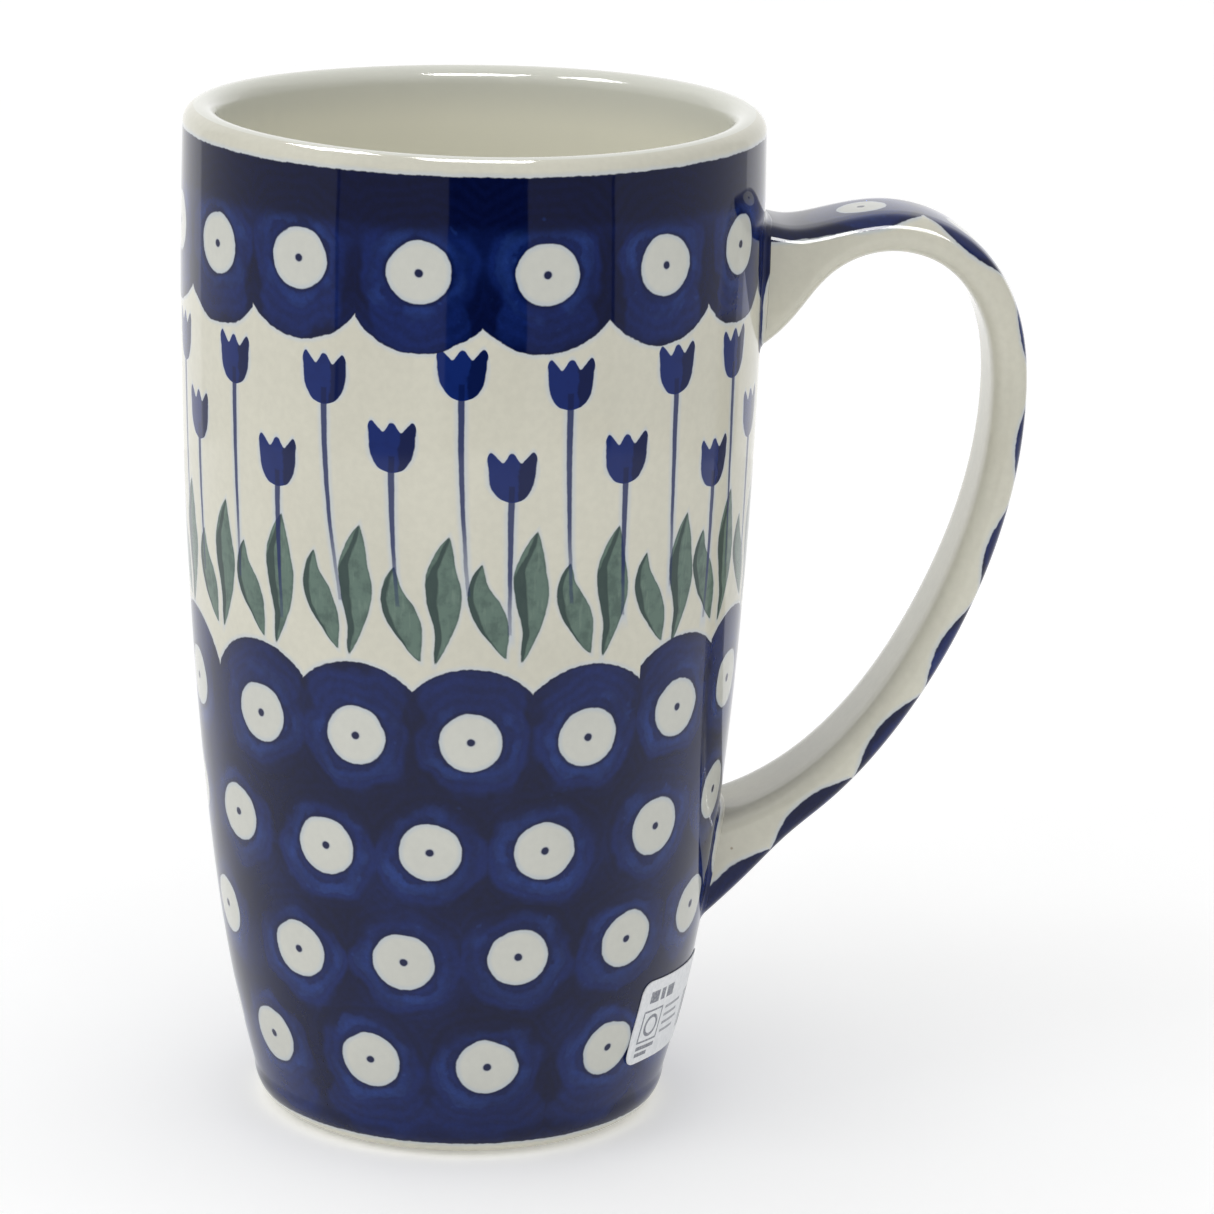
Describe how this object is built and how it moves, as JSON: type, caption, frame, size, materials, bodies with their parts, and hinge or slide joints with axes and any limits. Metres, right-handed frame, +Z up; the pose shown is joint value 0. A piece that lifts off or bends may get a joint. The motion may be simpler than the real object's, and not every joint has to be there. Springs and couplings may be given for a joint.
{
  "type": "polish stoneware mug",
  "caption": "Tall tapered stoneware mug with a strap handle luted on with slip, cobalt scallops, dotted bands and a tulip border, and a paper label.",
  "frame": {"origin": "on the cup's axis, in the plane of the foot ring that the mug stands on", "axes": "+Z up along the cup's axis; +X from the axis towards the handle"},
  "size_m": [0.1197, 0.0818, 0.145],
  "materials": {
    "painted_glaze": "clear gloss glaze over cream stoneware with cobalt painting",
    "handle_glaze": "clear gloss glaze over cream stoneware, cobalt on the outer face",
    "joint_glaze": "glazed cobalt line over the slip",
    "label_paper": "satin coated paper"
  },
  "bodies": {
    "root": {"mug_body": "painted_glaze", "handle": "handle_glaze", "upper_slip_joint": "joint_glaze", "lower_slip_joint": "joint_glaze", "paper_label": "label_paper"}
  },
  "joints": []
}
